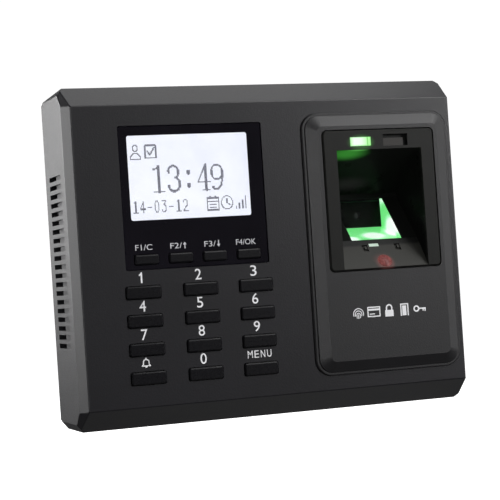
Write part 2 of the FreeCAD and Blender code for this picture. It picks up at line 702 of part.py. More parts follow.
blocks = []
for z in (-27.0, -40.0):
    block = box(-22.0, 16.0, main_rear, -7.6, z - 4.0, z + 4.0)
    for i in range(9):
        x = -19.0 + i * 4.0
        block = block.cut(box(x - 1.3, x + 1.3, -9.6, -7.0, z - 3.2, z - 0.4))
        block = block.cut(rod_y(x, z + 2.0, -9.6, -7.0, 1.2))
    blocks.append(block)
save("terminal_blocks", blocks)
jack = box(-42.0, -27.0, main_rear, -5.6, -43.0, -30.0)
jack = jack.cut(box(-40.0, -29.0, -13.0, -4.0, -41.0, -33.0))
save("service_jack", jack)
tamper = box(-24.0, -11.0, main_rear, -9.0, 2.0, 8.0)
lever = box(-23.0, -12.0, -9.05, -8.6, 3.0, 7.0)
save("tamper_switch", fuse([tamper, lever]))

# ------------------------------------------------------------------- speaker
rim = rod_x(-20.0, 12.0, -81.5, -79.5, 9.5)
can = rod_x(-20.0, 12.0, -79.6, -75.5, 6.5)
magnet = rod_x(-20.0, 12.0, -75.6, -73.4, 5.0)
speaker = fuse([rim, can, magnet])
speaker = speaker.cut(Part.makeSphere(11.0, V(-90.8, -20.0, 12.0)))
save("speaker", speaker)
bracket = box(-82.5, -79.0, -32.5, -8.5, 1.0, 23.0)
bracket = bracket.cut(rod_x(-20.0, 12.0, -84.0, -78.0, 9.6))
bracket = bracket.cut(box(-83.0, -81.5, -29.0, -8.0, 0.0, 24.0))
save("speaker_bracket", bracket)


# -------------------------------------------------------------------- cables
def ribbon(points, x0, x1, thick):
    """Flat cable whose run is a bent line in the YZ plane."""
    pieces = []
    for (y0, z0), (y1, z1) in zip(points[:-1], points[1:]):
        run = math.hypot(y1 - y0, z1 - z0)
        ny = -(z1 - z0) / run * thick / 2
        nz = (y1 - y0) / run * thick / 2
        pieces.append(slab_yz([(y0 + ny, z0 + nz), (y1 + ny, z1 + nz),
                               (y1 - ny, z1 - nz), (y0 - ny, z0 - nz)], x0, x1))
    for y, z in points[1:-1]:
        pieces.append(rod_x(y, z, x0, x1, thick / 2))
    return fuse(pieces)


save("lcd_ribbon", ribbon([(-29.0, 30.0), (-25.5, 30.0), (-24.5, 45.0), (-18.0, 45.0)],
                          -44.0, -26.0, 0.5))
save("key_ribbon", ribbon([(-27.4, -4.0), (-24.5, -4.0), (-24.0, 1.0), (-18.0, 1.0)],
                          -37.0, -25.0, 0.5))


def tube_along(points, r):
    """Round cable: straight runs joined by tangent arcs."""
    edges = []
    start = points[0]
    for before, at, after in zip(points[:-2], points[1:-1], points[2:]):
        back = before - at
        onward = after - at
        turn = math.pi - back.getAngle(onward)
        reach = 0.45 * min(back.Length, onward.Length)
        bend = reach / math.tan(turn / 2)
        back.normalize()
        onward.normalize()
        p = at + back * reach
        q = at + onward * reach
        middle = back + onward
        middle.normalize()
        rise = bend / math.cos(turn / 2) - bend
        edges.append(Part.LineSegment(start, p).toShape())
        edges.append(Part.Arc(p, at + middle * rise, q).toShape())
        print("cable bend radius %.1f" % bend)
        start = q
    edges.append(Part.LineSegment(start, points[-1]).toShape())
    wire = Part.Wire(edges)
    circle = Part.Wire([Part.makeCircle(r, points[0], points[1] - points[0])])
    body = wire.makePipeShell([circle], True, True)
    print("cable volume %.1f, section times length %.1f"
          % (body.Volume, math.pi * r * r * wire.Length))
    return body


tube = tube_along([V(57.8, -7.7, 22.0), V(48.0, -7.2, 24.5), V(37.0, -7.2, 28.5),
                   V(25.0, -9.5, 30.0), V(19.0, -13.2, 27.3), V(14.6, -14.6, 24.8)], 0.9)
save("sensor_cable", tube)
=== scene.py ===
import math

import bmesh
import bpy
from mathutils import Matrix, Vector


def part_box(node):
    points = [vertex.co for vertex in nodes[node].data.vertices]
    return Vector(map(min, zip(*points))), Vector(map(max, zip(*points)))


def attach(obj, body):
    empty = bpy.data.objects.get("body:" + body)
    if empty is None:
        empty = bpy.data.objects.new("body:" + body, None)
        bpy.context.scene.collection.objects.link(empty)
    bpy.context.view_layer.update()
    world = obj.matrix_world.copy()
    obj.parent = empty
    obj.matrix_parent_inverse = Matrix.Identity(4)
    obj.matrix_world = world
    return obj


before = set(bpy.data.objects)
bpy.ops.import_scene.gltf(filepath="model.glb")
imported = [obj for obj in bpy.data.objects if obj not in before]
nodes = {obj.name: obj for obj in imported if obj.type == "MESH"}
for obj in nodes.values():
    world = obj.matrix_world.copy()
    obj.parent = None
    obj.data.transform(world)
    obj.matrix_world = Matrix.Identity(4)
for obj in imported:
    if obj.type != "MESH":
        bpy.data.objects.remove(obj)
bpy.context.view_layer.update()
MM = 0.001
ROOT = "terminal"


# ------------------------------------------------------------------ materials
def new_material(name):
    """Empty Principled material; returns (material, node tree, shader, links)."""
    mat = bpy.data.materials.new(name)
    mat.use_nodes = True
    tree = mat.node_tree
    return mat, tree, tree.nodes["Principled BSDF"], tree.links


def noise(tree, scale, detail=3.0, rough=0.55, stretch=None):
    """Noise texture in object coordinates, in cycles per metre."""
    coord = tree.nodes.new("ShaderNodeTexCoord")
    tex = tree.nodes.new("ShaderNodeTexNoise")
    tex.inputs["Scale"].default_value = scale
    tex.inputs["Detail"].default_value = detail
    tex.inputs["Roughness"].default_value = rough
    out = coord.outputs["Object"]
    if stretch:
        mapping = tree.nodes.new("ShaderNodeMapping")
        mapping.inputs["Scale"].default_value = stretch
        tree.links.new(out, mapping.inputs["Vector"])
        out = mapping.outputs["Vector"]
    tree.links.new(out, tex.inputs["Vector"])
    return tex


def ramp(tree, source, stops):
    """Colour ramp driven by source; stops are (position, colour)."""
    node = tree.nodes.new("ShaderNodeValToRGB")
    while len(node.color_ramp.elements) < len(stops):
        node.color_ramp.elements.new(0.5)
    for element, (at, colour) in zip(node.color_ramp.elements, stops):
        element.position = at
        element.color = tuple(colour) + (1.0,)
    tree.links.new(source, node.inputs["Fac"])
    return node.outputs["Color"]


def spread(tree, source, low, high):
    """Maps 0.3..0.7 of a texture onto low..high."""
    node = tree.nodes.new("ShaderNodeMapRange")
    node.inputs["From Min"].default_value = 0.3
    node.inputs["From Max"].default_value = 0.7
    node.inputs["To Min"].default_value = low
    node.inputs["To Max"].default_value = high
    tree.links.new(source, node.inputs["Value"])
    return node.outputs["Result"]


def add_bump(tree, shader, source, height, strength=1.0, before=None):
    """Bump from a texture; height in metres."""
    bump = tree.nodes.new("ShaderNodeBump")
    bump.inputs["Distance"].default_value = height
    bump.inputs["Strength"].default_value = strength
    tree.links.new(source, bump.inputs["Height"])
    if before is not None:
        tree.links.new(before, bump.inputs["Normal"])
    tree.links.new(bump.outputs["Normal"], shader.inputs["Normal"])
    return bump.outputs["Normal"]


def surface(name, base, vary=0.12, rough=(0.4, 0.55), grain=2600.0, height=0.00002,
            patch=55.0, metallic=0.0, coat=0.0, specular=0.5, stretch=None):
    """Solid surface: slow colour drift, uneven gloss and a fine grain."""
    mat, tree, shader, links = new_material(name)
    slow = noise(tree, patch, 3.0, 0.5)
    dark = [c * (1 - vary) for c in base]
    light = [min(1.0, c * (1 + vary)) for c in base]
    colour = ramp(tree, slow.outputs["Fac"], [(0.3, dark), (0.7, light)])
    links.new(colour, shader.inputs["Base Color"])
    fine = noise(tree, grain, 2.0, 0.6, stretch)
    links.new(spread(tree, fine.outputs["Fac"], rough[0], rough[1]), shader.inputs["Roughness"])
    add_bump(tree, shader, fine.outputs["Fac"], height)
    shader.inputs["Metallic"].default_value = metallic
    shader.inputs["Coat Weight"].default_value = coat
    shader.inputs["Specular IOR Level"].default_value = specular
    return mat


def moulded(name, base, rough, grain=1500.0, height=0.000035, specular=0.5):
    """Spark-eroded black plastic: a leathery grain over a faint slow mottle."""
    mat, tree, shader, links = new_material(name)
    slow = noise(tree, 40.0, 4.0, 0.6)
    dark = [c * 0.86 for c in base]
    light = [c * 1.14 for c in base]
    colour = ramp(tree, slow.outputs["Fac"], [(0.3, dark), (0.7, light)])
    links.new(colour, shader.inputs["Base Color"])
    coord = tree.nodes.new("ShaderNodeTexCoord")
    cells = tree.nodes.new("ShaderNodeTexVoronoi")
    cells.inputs["Scale"].default_value = grain
    links.new(coord.outputs["Object"], cells.inputs["Vector"])
    fine = noise(tree, grain * 1.7, 2.0, 0.6)
    links.new(spread(tree, fine.outputs["Fac"], rough[0], rough[1]), shader.inputs["Roughness"])
    first = add_bump(tree, shader, cells.outputs["Distance"], height, 0.5)
    add_bump(tree, shader, fine.outputs["Fac"], height * 0.6, 0.5, first)
    shader.inputs["Specular IOR Level"].default_value = specular
    return mat


def lamp(name, stops, patch, strength, rough=0.35, base=(0.5, 0.5, 0.5), specular=0.5):
    """Lit plastic: the glow, or the light that it lets through, varies over the piece."""
    mat, tree, shader, links = new_material(name)
    slow = noise(tree, patch, 2.0, 0.5)
    links.new(ramp(tree, slow.outputs["Fac"], stops), shader.inputs["Emission Color"])
    shader.inputs["Emission Strength"].default_value = strength
    shader.inputs["Base Color"].default_value = base + (1.0,)
    shader.inputs["Specular IOR Level"].default_value = specular
    fine = noise(tree, 1800.0, 2.0, 0.5)
    gloss = spread(tree, fine.outputs["Fac"], rough * 0.8, rough * 1.2)
    links.new(gloss, shader.inputs["Roughness"])
    add_bump(tree, shader, fine.outputs["Fac"], 0.00001)
    return mat


def clear(name, tint, rough, ior, coat=0.0, specular_tint=(1.0, 1.0, 1.0)):
    """See-through plastic or glass with faint smears in its gloss."""
    mat, tree, shader, links = new_material(name)
    slow = noise(tree, 70.0, 4.0, 0.6)
    pale = [min(1.0, c * 1.02) for c in tint]
    deep = [c * 0.97 for c in tint]
    colour = ramp(tree, slow.outputs["Fac"], [(0.35, deep), (0.65, pale)])
    links.new(colour, shader.inputs["Base Color"])
    gloss = spread(tree, slow.outputs["Fac"], rough * 0.6, rough * 1.5)
    links.new(gloss, shader.inputs["Roughness"])
    add_bump(tree, shader, slow.outputs["Fac"], 0.000004)
    shader.inputs["Transmission Weight"].default_value = 1.0
    shader.inputs["IOR"].default_value = ior
    shader.inputs["Coat Weight"].default_value = coat
    shader.inputs["Specular Tint"].default_value = specular_tint + (1.0,)
    return mat


def step(tree, value, at, width=0.4, falling=False):
    """0 to 1 where a length passes `at`, over `width`, both in mm; 1 to 0 when falling."""
    node = tree.nodes.new("ShaderNodeMapRange")
    node.interpolation_type = "SMOOTHSTEP"
    node.inputs["From Min"].default_value = (at - width / 2) * MM
    node.inputs["From Max"].default_value = (at + width / 2) * MM
    node.inputs["To Min"].default_value = 1.0 if falling else 0.0
    node.inputs["To Max"].default_value = 0.0 if falling else 1.0
    tree.links.new(value, node.inputs["Value"])
    return node.outputs["Result"]


def math_node(tree, operation, first, second):
    """Math node; either side may be a socket or a number."""
    node = tree.nodes.new("ShaderNodeMath")
    node.operation = operation
    for slot, value in zip(node.inputs, (first, second)):
        if isinstance(value, float):
            slot.default_value = value
        else:
            tree.links.new(value, slot)
    return node.outputs["Value"]


def product(tree, *values):
    """All the values multiplied."""
    total = values[0]
    for value in values[1:]:
        total = math_node(tree, "MULTIPLY", total, value)
    return total


def largest(tree, *values):
    """The greatest of the values."""
    total = values[0]
    for value in values[1:]:
        total = math_node(tree, "MAXIMUM", total, value)
    return total


def spot(tree, position, centre, reach, core=0.25):
    """1 in the middle of an ellipsoid, 0 at its reach; mm."""
    shift = tree.nodes.new("ShaderNodeVectorMath")
    shift.operation = "SUBTRACT"
    shift.inputs[1].default_value = [c * MM for c in centre]
    tree.links.new(position, shift.inputs[0])
    size = tree.nodes.new("ShaderNodeVectorMath")
    size.operation = "DIVIDE"
    size.inputs[1].default_value = [r * MM for r in reach]
    tree.links.new(shift.outputs["Vector"], size.inputs[0])
    gap = tree.nodes.new("ShaderNodeVectorMath")
    gap.operation = "LENGTH"
    tree.links.new(size.outputs["Vector"], gap.inputs[0])
    near = tree.nodes.new("ShaderNodeMapRange")
    near.interpolation_type = "SMOOTHSTEP"
    near.inputs["From Min"].default_value = core
    near.inputs["From Max"].default_value = 1.0
    near.inputs["To Min"].default_value = 1.0
    near.inputs["To Max"].default_value = 0.0
    tree.links.new(gap.outputs["Value"], near.inputs["Value"])
    return near.outputs["Result"]


# the Mix node has sockets of one name for each data type, so the colour ones go by number
MIX_COLOUR_A, MIX_COLOUR_B, MIX_COLOUR_OUT = 6, 7, 2


def blend(tree, share, first, second):
    """Mixes two colours, each a socket or three numbers, by a 0..1 socket."""
    node = tree.nodes.new("ShaderNodeMix")
    node.data_type = "RGBA"
    tree.links.new(share, node.inputs["Factor"])
    for index, value in ((MIX_COLOUR_A, first), (MIX_COLOUR_B, second)):
        if isinstance(value, tuple):
            node.inputs[index].default_value = value + (1.0,)
        else:
            tree.links.new(value, node.inputs[index])
    return node.outputs[MIX_COLOUR_OUT]


def object_axes(tree):
    """Position on the object, which is also the position in the frame, and its three parts."""
    coord = tree.nodes.new("ShaderNodeTexCoord")
    axes = tree.nodes.new("ShaderNodeSeparateXYZ")
    tree.links.new(coord.outputs["Object"], axes.inputs[0])
    return coord.outputs["Object"], axes.outputs["X"], axes.outputs["Y"], axes.outputs["Z"]


# Patches of light, each (centre, reach, flat core): mm, mm, share of the reach.
# On the light guide, in front of the lamps behind it:
GUIDE_LEFT = ((38.0, -31.2, 2.0), (4.8, 5.6, 4.6), 0.15)
GUIDE_MIDDLE = ((49.4, -28.4, 2.8), (7.6, 7.2, 6.0), 0.3)
GUIDE_CORNER = ((59.2, -26.0, 5.6), (5.0, 8.6, 7.8), 0.28)
GUIDE_TIP = ((59.2, -17.0, 18.4), (2.0, 3.0, 5.0), 0.0)
GUIDE_TIP_SHARE = 0.6
GUIDE_UNEVEN = 0.35
GUIDE_COLOURS = [(0.0, (0.14, 0.75, 0.19)), (0.35, (0.36, 0.93, 0.46)), (0.75, (0.95, 1.0, 0.96))]
GUIDE_TAB_Y = -34.6
GUIDE_TAB_COLOUR = (0.34, 0.38, 0.35)

# On the sensor frame and its well, near the indicator lamps and the ramp's light:
CEILING_GLOW = ((34.0, -41.2, 37.2), (11.5, 6.6, 4.6), 0.15)
CEILING_BRIGHT = ((38.0, -43.6, 38.6), (6.5, 2.2, 1.3), 0.0)
LAMP_HALO = ((39.4, -43.4, 41.6), (7.0, 3.0, 3.8), 0.55)
BACK_HAZE = ((41.0, -21.0, 27.0), (14.0, 8.0, 5.5), 0.2)
RAMP_GLOW = ((47.0, -40.6, -7.2), (5.6, 3.4, 4.8), 0.1)
RAMP_RING = ((47.9, -41.4, -8.7), (4.9, 4.9, 4.9), 0.55)
FRAME_BACK_Y, FRAME_FACE_Y = -43.25, -43.2

# The sensor frame's plastic, where its ramp begins, and the height above which the ramp's top is
# painted the well's black as painted shade (mm)
FRAME_DARK = (0.0054, 0.0056, 0.0048)
FRAME_LIGHT = (0.0080, 0.0082, 0.0070)
RAMP_GREY = (0.0310, 0.0310, 0.0275)
RAMP_FRONT_Y, SHADE_BAND_Z = -42.95, -1.3
WELL_BLACK_AND_PAINTED_SHADE = (0.0080, 0.0086, 0.0080)
WELL_GREY = (0.0105, 0.0110, 0.0102)
# painted light on the front of the well's right wall: its grey, and where it ends (mm)
MOUTH_PAINTED_LIGHT = (0.030, 0.030, 0.028)
MOUTH_Y, MOUTH_X = -42.0, 66.5

# The green lamp's lens: its ends, the edges of its pale rim (mm), and its colours along it
LENS_X0, LENS_X1 = 34.7, 44.1
LENS_Z0, LENS_Z1 = 40.55, 43.5
LENS_COLOURS = [
    (0.0, (0.18, 0.66, 0.15)), (0.08, (0.62, 0.97, 0.56)), (0.20, (0.86, 1.0, 0.87)),
    (0.55, (0.80, 1.0, 0.80)), (0.78, (0.52, 0.95, 0.46)), (0.84, (0.13, 0.58, 0.09)),
    (0.90, (0.44, 0.90, 0.34)), (1.0, (0.24, 0.74, 0.20))]
LENS_RIM = (0.22, 0.80, 0.18)


def light_guide_material():
    """Frosted guide lit green, nearly white by its lamps; its tab on the ramp is pale."""
    mat, tree, shader, links = new_material("light_guide_lit")
    place, _, y, _ = object_axes(tree)
    near = largest(tree,
                   spot(tree, place, *GUIDE_LEFT),
                   spot(tree, place, *GUIDE_MIDDLE),
                   spot(tree, place, *GUIDE_CORNER),
                   product(tree, spot(tree, place, *GUIDE_TIP), GUIDE_TIP_SHARE))
    slow = noise(tree, 170.0, 2.0, 0.5)
    centred = math_node(tree, "SUBTRACT", slow.outputs["Fac"], 0.5)
    uneven = math_node(tree, "ADD", near, math_node(tree, "MULTIPLY", centred, GUIDE_UNEVEN))
    lit = ramp(tree, uneven, GUIDE_COLOURS)
    tab = step(tree, y, GUIDE_TAB_Y, 0.6, True)
    links.new(blend(tree, tab, lit, GUIDE_TAB_COLOUR), shader.inputs["Emission Color"])
    shader.inputs["Emission Strength"].default_value = 1.0
    shader.inputs["Base Color"].default_value = (0.20, 0.30, 0.22, 1.0)
    fine = noise(tree, 1500.0, 2.0, 0.5)
    links.new(spread(tree, fine.outputs["Fac"], 0.4, 0.6), shader.inputs["Roughness"])
    add_bump(tree, shader, fine.outputs["Fac"], 0.00001)
    return mat


def lamp_glow(tree, place, y):
    """Light of the lamps caught by the plastic round them, as an emission colour."""
    behind = step(tree, y, FRAME_BACK_Y, 0.3)
    front = step(tree, y, FRAME_FACE_Y, 0.3, True)
    colour = (0.0, 0.0, 0.0)
    for side, patch, glow in ((behind, CEILING_GLOW, (0.026, 0.190, 0.020)),
                              (behind, CEILING_BRIGHT, (0.10, 0.42, 0.08)),
                              (front, LAMP_HALO, (0.020, 0.085, 0.016)),
                              (behind, BACK_HAZE, (0.0085, 0.0080, 0.0082)),
                              (behind, RAMP_GLOW, (0.040, 0.010, 0.008)),
                              (behind, RAMP_RING, (0.085, 0.022, 0.020))):
        colour = blend(tree, product(tree, side, spot(tree, place, *patch)), colour, glow)
    return colour


def sensor_frame_material():
    """Grained moulding, black on its front and grey on the ramp behind it; a band at the ramp's top
    is painted black as painted shade.
    """
    mat, tree, shader, links = new_material("sensor_frame_moulded")
    place, _, y, z = object_axes(tree)
    slow = noise(tree, 45.0, 4.0, 0.6)
    black = ramp(tree, slow.outputs["Fac"], [(0.3, FRAME_DARK), (0.7, FRAME_LIGHT)])
    behind = step(tree, y, RAMP_FRONT_Y, 0.2)
    # painted shade: the top of the ramp, under the well, is painted the well's black
    shade_band = product(tree, behind, step(tree, z, SHADE_BAND_Z, 1.2))
    colour = blend(tree, shade_band, blend(tree, behind, black, RAMP_GREY), WELL_BLACK_AND_PAINTED_SHADE)
    links.new(colour, shader.inputs["Base Color"])
    fine = noise(tree, 3000.0, 2.0, 0.6)
    links.new(spread(tree, fine.outputs["Fac"], 0.40, 0.50), shader.inputs["Roughness"])
    add_bump(tree, shader, fine.outputs["Fac"], 0.00002, 0.5)
    shader.inputs["Specular IOR Level"].default_value = 0.21
    links.new(lamp_glow(tree, place, y), shader.inputs["Emission Color"])
    shader.inputs["Emission Strength"].default_value = 1.0
    return mat


def well_material():
    """Smooth black of the finger well, which takes up nearly all light; painted light makes the
    front of its right wall greyer.
    """
    mat, tree, shader, links = new_material("sensor_well_black")
    place, x, y, _ = object_axes(tree)
    slow = noise(tree, 60.0, 3.0, 0.6)
    black = ramp(tree, slow.outputs["Fac"], [(0.3, WELL_BLACK_AND_PAINTED_SHADE), (0.7, WELL_GREY)])
    # painted light: the front of the right wall is painted grey, where light falls into the well
    mouth = product(tree, step(tree, y, MOUTH_Y, 2.8, True), step(tree, x, MOUTH_X, 0.4))
    links.new(blend(tree, mouth, black, MOUTH_PAINTED_LIGHT), shader.inputs["Base Color"])
    links.new(spread(tree, slow.outputs["Fac"], 0.24, 0.36), shader.inputs["Roughness"])
    shader.inputs["Specular IOR Level"].default_value = 0.015
    links.new(lamp_glow(tree, place, y), shader.inputs["Emission Color"])
    shader.inputs["Emission Strength"].default_value = 1.0
    return mat


def green_lamp_material():
    """Clear lens over a green lamp: nearly white in its middle, a dark line by its right end."""
    mat, tree, shader, links = new_material("indicator_green")
    _, x, _, z = object_axes(tree)
    along = tree.nodes.new("ShaderNodeMapRange")
    along.inputs["From Min"].default_value = LENS_X0 * MM
    along.inputs["From Max"].default_value = LENS_X1 * MM
    links.new(x, along.inputs["Value"])
    lit = ramp(tree, along.outputs["Result"], LENS_COLOURS)
    slow = noise(tree, 240.0, 2.0, 0.5)
    rim = largest(tree, step(tree, z, LENS_Z0, 0.5, True), step(tree, z, LENS_Z1, 0.5))
    lit = blend(tree, product(tree, rim, slow.outputs["Fac"]), lit, LENS_RIM)
    links.new(lit, shader.inputs["Emission Color"])
    shader.inputs["Emission Strength"].default_value = 1.0
    shader.inputs["Base Color"].default_value = (0.06, 0.10, 0.06, 1.0)
    fine = noise(tree, 1800.0, 2.0, 0.5)
    links.new(spread(tree, fine.outputs["Fac"], 0.25, 0.40), shader.inputs["Roughness"])
    return mat


# name, base colour, share of drift, roughness from and to, grain per metre, grain height (m)
MATS = {
    "case": moulded("case_moulded", (0.0070, 0.0065, 0.0088), (0.32, 0.42)),
    "panel": moulded("panel_moulded", (0.0090, 0.0086, 0.0100), (0.38, 0.48)),
    "frame": sensor_frame_material(),
    "well": well_material(),
    "key": surface("key_plastic", (0.0024, 0.0022, 0.0036), 0.15, (0.26, 0.36), 2400.0, 0.000012,
                   specular=0.32),
    "window": clear("window_clear", (0.96, 0.96, 1.0), 0.03, 1.585,
                    specular_tint=(0.96, 0.90, 1.0)),
    # painted light: the black printed mask behind the window glows faintly bluish, though it is no
    # lamp
    "mask": lamp("mask_print_painted_glow", [(0.30, (0.0022, 0.0019, 0.0034)), (0.70, (0.0034, 0.0029, 0.0050))],
                 60.0, 1.0, 0.35, (0.0020, 0.0018, 0.0036), 0.1),
    "steel": surface("plate_zinc", (0.55, 0.56, 0.58), 0.06, (0.30, 0.40), 4200.0, 0.000003,
                     patch=30.0, metallic=1.0, stretch=(1.0, 1.0, 0.02)),
    "screw": surface("screw_zinc", (0.60, 0.60, 0.62), 0.10, (0.25, 0.38), 2500.0, 0.00001,
                     patch=200.0, metallic=1.0),
    "can": surface("can_steel", (0.58, 0.58, 0.57), 0.08, (0.25, 0.35), 1200.0, 0.00001,
                   patch=60.0, metallic=1.0),
    "board": surface("board_resist", (0.012, 0.11, 0.045), 0.25, (0.28, 0.40), 500.0, 0.00002,
                     patch=160.0),
    "chip": surface("chip_resin", (0.018, 0.018, 0.019), 0.15, (0.45, 0.60), 2500.0, 0.00001),
    "blue": surface("relay_blue", (0.02, 0.08, 0.32), 0.12, (0.30, 0.42), 1800.0, 0.00001),
    "terminal": surface("terminal_green", (0.03, 0.22, 0.09), 0.12, (0.32, 0.45), 1800.0, 0.00002),
    "dark": surface("inner_black", (0.012, 0.012, 0.013), 0.15, (0.45, 0.60), 2200.0, 0.00002),
    "flock": surface("baffle_flock", (0.0022, 0.0028, 0.0022), 0.3, (0.75, 0.9), 2600.0, 0.00003,
                     specular=0.05),
    "white": surface("holder_white", (0.62, 0.61, 0.56), 0.06, (0.40, 0.52), 1800.0, 0.00001),
    "ribbon": surface("ribbon_grey", (0.38, 0.36, 0.31), 0.08, (0.35, 0.45), 1100.0, 0.00003,
                      patch=60.0, stretch=(1.0, 0.02, 0.02)),
    "rubber": surface("cable_sheath", (0.014, 0.014, 0.015), 0.15, (0.50, 0.62), 1600.0, 0.00002),
    "prism": clear("prism_glass", (0.90, 0.97, 0.92), 0.02, 1.03, 0.10),
    "guide": light_guide_material(),
    "green": green_lamp_material(),
    "unlit": surface("indicator_unlit", (0.022, 0.020, 0.018), 0.2, (0.34, 0.46), 1700.0, 0.00001,
                     specular=0.3),
    "red": lamp("ramp_light_red", [(0.35, (0.11, 0.030, 0.028)), (0.65, (0.24, 0.075, 0.070))],
                900.0, 0.9, 0.3, (0.04, 0.014, 0.014), 0.12),
    "lcd": lamp("lcd_backlit", [(0.30, (0.86, 0.89, 0.99)), (0.70, (0.95, 0.97, 1.0))],
                30.0, 1.04, 0.3, (0.10, 0.10, 0.11)),
    "backlight": surface("backlight_white", (0.75, 0.77, 0.80), 0.04, (0.40, 0.50), 1500.0,
                         0.00001),
    "dots": surface("lcd_dots", (0.085, 0.085, 0.125), 0.1, (0.4, 0.5), 1500.0, 0.000002,
                    specular=0.1),
    "ink": surface("label_ink", (0.88, 0.88, 0.90), 0.06, (0.42, 0.55), 2600.0, 0.000004),
    "window_ink": surface("window_ink", (0.66, 0.66, 0.70), 0.10, (0.42, 0.55), 2600.0, 0.000004),
}

NOT_KEY_CAPS = ("key_board", "key_switches", "key_ribbon")
PAINT = {
    "case": ["front_cover", "rear_cover"],
    "panel": ["sensor_panel"],
    "frame": ["sensor_frame"],
    "window": ["display_window"],
    "mask": ["display_mask"],
    "steel": ["wall_plate"],
    "screw": ["case_screws", "board_screws", "sensor_screws", "lock_screw", "key_switches",
              "coin_cell"],
    "can": ["lcd_frame", "service_jack"],
    "board": ["main_board", "sensor_board", "lcd_board", "key_board", "light_board", "prism_leds"],
    "chip": ["processor_chips", "imaging_camera"],
    "blue": ["door_relay", "board_capacitors"],
    "terminal": ["terminal_blocks"],
    "dark": ["buzzer", "tamper_switch", "speaker", "speaker_bracket"],
    "flock": ["prism_baffle", "prism_holder"],
    "white": ["cell_holder"],
    "ribbon": ["lcd_ribbon", "key_ribbon"],
    "rubber": ["sensor_cable"],
    "prism": ["prism"],
    "guide": ["prism_light_guide"],
    "green": ["green_light_pipe"],
    "unlit": ["red_light_pipe"],
    "red": ["ramp_light"],
    "lcd": ["lcd_glass"],
    "backlight": ["lcd_backlight"],
    "key": [n for n in nodes if n.startswith("key_") and n not in NOT_KEY_CAPS],
}
for kind, names in PAINT.items():
    for name in names:
        mesh = nodes[name].data
        mesh.materials.clear()
        mesh.materials.append(MATS[kind])
painted = {name for names in PAINT.values() for name in names}
assert painted == set(nodes), sorted(set(nodes) ^ painted)

# the well's walls and ceiling: faces of the sensor frame behind its front, apart from the ramp
WELL_X0, WELL_X1, WELL_FRONT_Y = 28.3, 66.9, -43.3
WELL_FOOT_Z, RAMP_TOP_Z, WELL_TOP_Z = -11.5, 1.3, 39.5
NEAR = 0.1
WELL_SLOT = 1
frame_mesh = nodes["sensor_frame"].data
frame_mesh.materials.append(MATS["well"])
for face in frame_mesh.polygons:
    x, y, z = (c / MM for c in face.center)
    across = WELL_X0 - NEAR < x < WELL_X1 + NEAR
    within = across and y > WELL_FRONT_Y and WELL_FOOT_Z < z < WELL_TOP_Z
    at_side = x < WELL_X0 + NEAR or x > WELL_X1 - NEAR
    if within and (z > RAMP_TOP_Z or (abs(face.normal.x) > 0.9 and at_side)):
        face.material_index = WELL_SLOT


# width of the rounds (mm), and the angle (degrees) from which an edge gets one
CASE_ROUND, KEY_ROUND, ROUND_ANGLE = 0.22, 0.12, 28


def soften(name, width):
    """Small round on a carried-over piece's edges, as moulding leaves."""
    mod = nodes[name].modifiers.new("edge", "BEVEL")
    mod.width = width * MM
    mod.segments = 2
    mod.limit_method = "ANGLE"
    mod.angle_limit = math.radians(ROUND_ANGLE)
    mod.use_clamp_overlap = True


for name in ("front_cover", "sensor_panel", "sensor_frame"):
    soften(name, CASE_ROUND)
for name in PAINT["key"]:
    soften(name, KEY_ROUND)


# ------------------------------------------------------------- thin printing
def add_piece(name, mesh, kind):
    """Mesh data into the scene as a piece that rides on the terminal."""
    obj = bpy.data.objects.new(name, mesh)
    bpy.context.scene.collection.objects.link(obj)
    mesh.materials.clear()
    mesh.materials.append(MATS[kind])
    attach(obj, ROOT)
    return obj


# a printed film's thickness, its gap to the face under it, and the step that keeps
# overlapping shapes of one print apart (mm)
FILM, FILM_GAP, FILM_STEP = 0.02, 0.002, 0.0004
STROKE_END = 0.55


def stroke(points, half, closed=False):
    """Quads of a line with a width, in the plane of the print."""
    quads = []
    run = list(points) + ([points[0]] if closed else [])
    for (ax, az), (bx, bz) in zip(run[:-1], run[1:]):
        length = math.hypot(bx - ax, bz - az)
        if length < 1e-9:
            continue
        ux, uz = (bx - ax) / length, (bz - az) / length
        nx, nz = -uz * half, ux * half
        e = half * STROKE_END
        ax2, az2, bx2, bz2 = ax - ux * e, az - uz * e, bx + ux * e, bz + uz * e
        quads.append([(ax2 + nx, az2 + nz), (bx2 + nx, bz2 + nz),
                      (bx2 - nx, bz2 - nz), (ax2 - nx, az2 - nz)])
    return quads


def arc(cx, cz, r, start, end, steps=14):
    """Points round a circle, in degrees."""
    out = []
    for i in range(steps + 1):
        a = math.radians(start + (end - start) * i / steps)
        out.append((cx + r * math.cos(a), cz + r * math.sin(a)))
    return out


def print_shapes(name, polygons, cx, cz, y, kind="ink"):
    """Flat printed shapes round (cx, cz) at depth y (mm), each a thin raised film."""
    mesh = bpy.data.meshes.new(name)
    bm = bmesh.new()
    for n, polygon in enumerate(polygons):
        lift = FILM_STEP * n
        corners = [(cx + px, cz + pz) for px, pz in polygon]
        area = sum(a[0] * b[1] - b[0] * a[1] for a, b in zip(corners, corners[1:] + corners[:1]))
        if area < 0:
            corners.reverse()
        front = [bm.verts.new((x * MM, (y - FILM - lift) * MM, z * MM)) for x, z in corners]
        back = [bm.verts.new((x * MM, (y - FILM_GAP) * MM, z * MM)) for x, z in corners]
        bm.faces.new(front)
        bm.faces.new(list(reversed(back)))
        for i in range(len(corners)):
            j = (i + 1) % len(corners)
            bm.faces.new((front[j], front[i], back[i], back[j]))
    bmesh.ops.recalc_face_normals(bm, faces=bm.faces)
    bm.to_mesh(mesh)
    bm.free()
    return add_piece(name, mesh, kind)


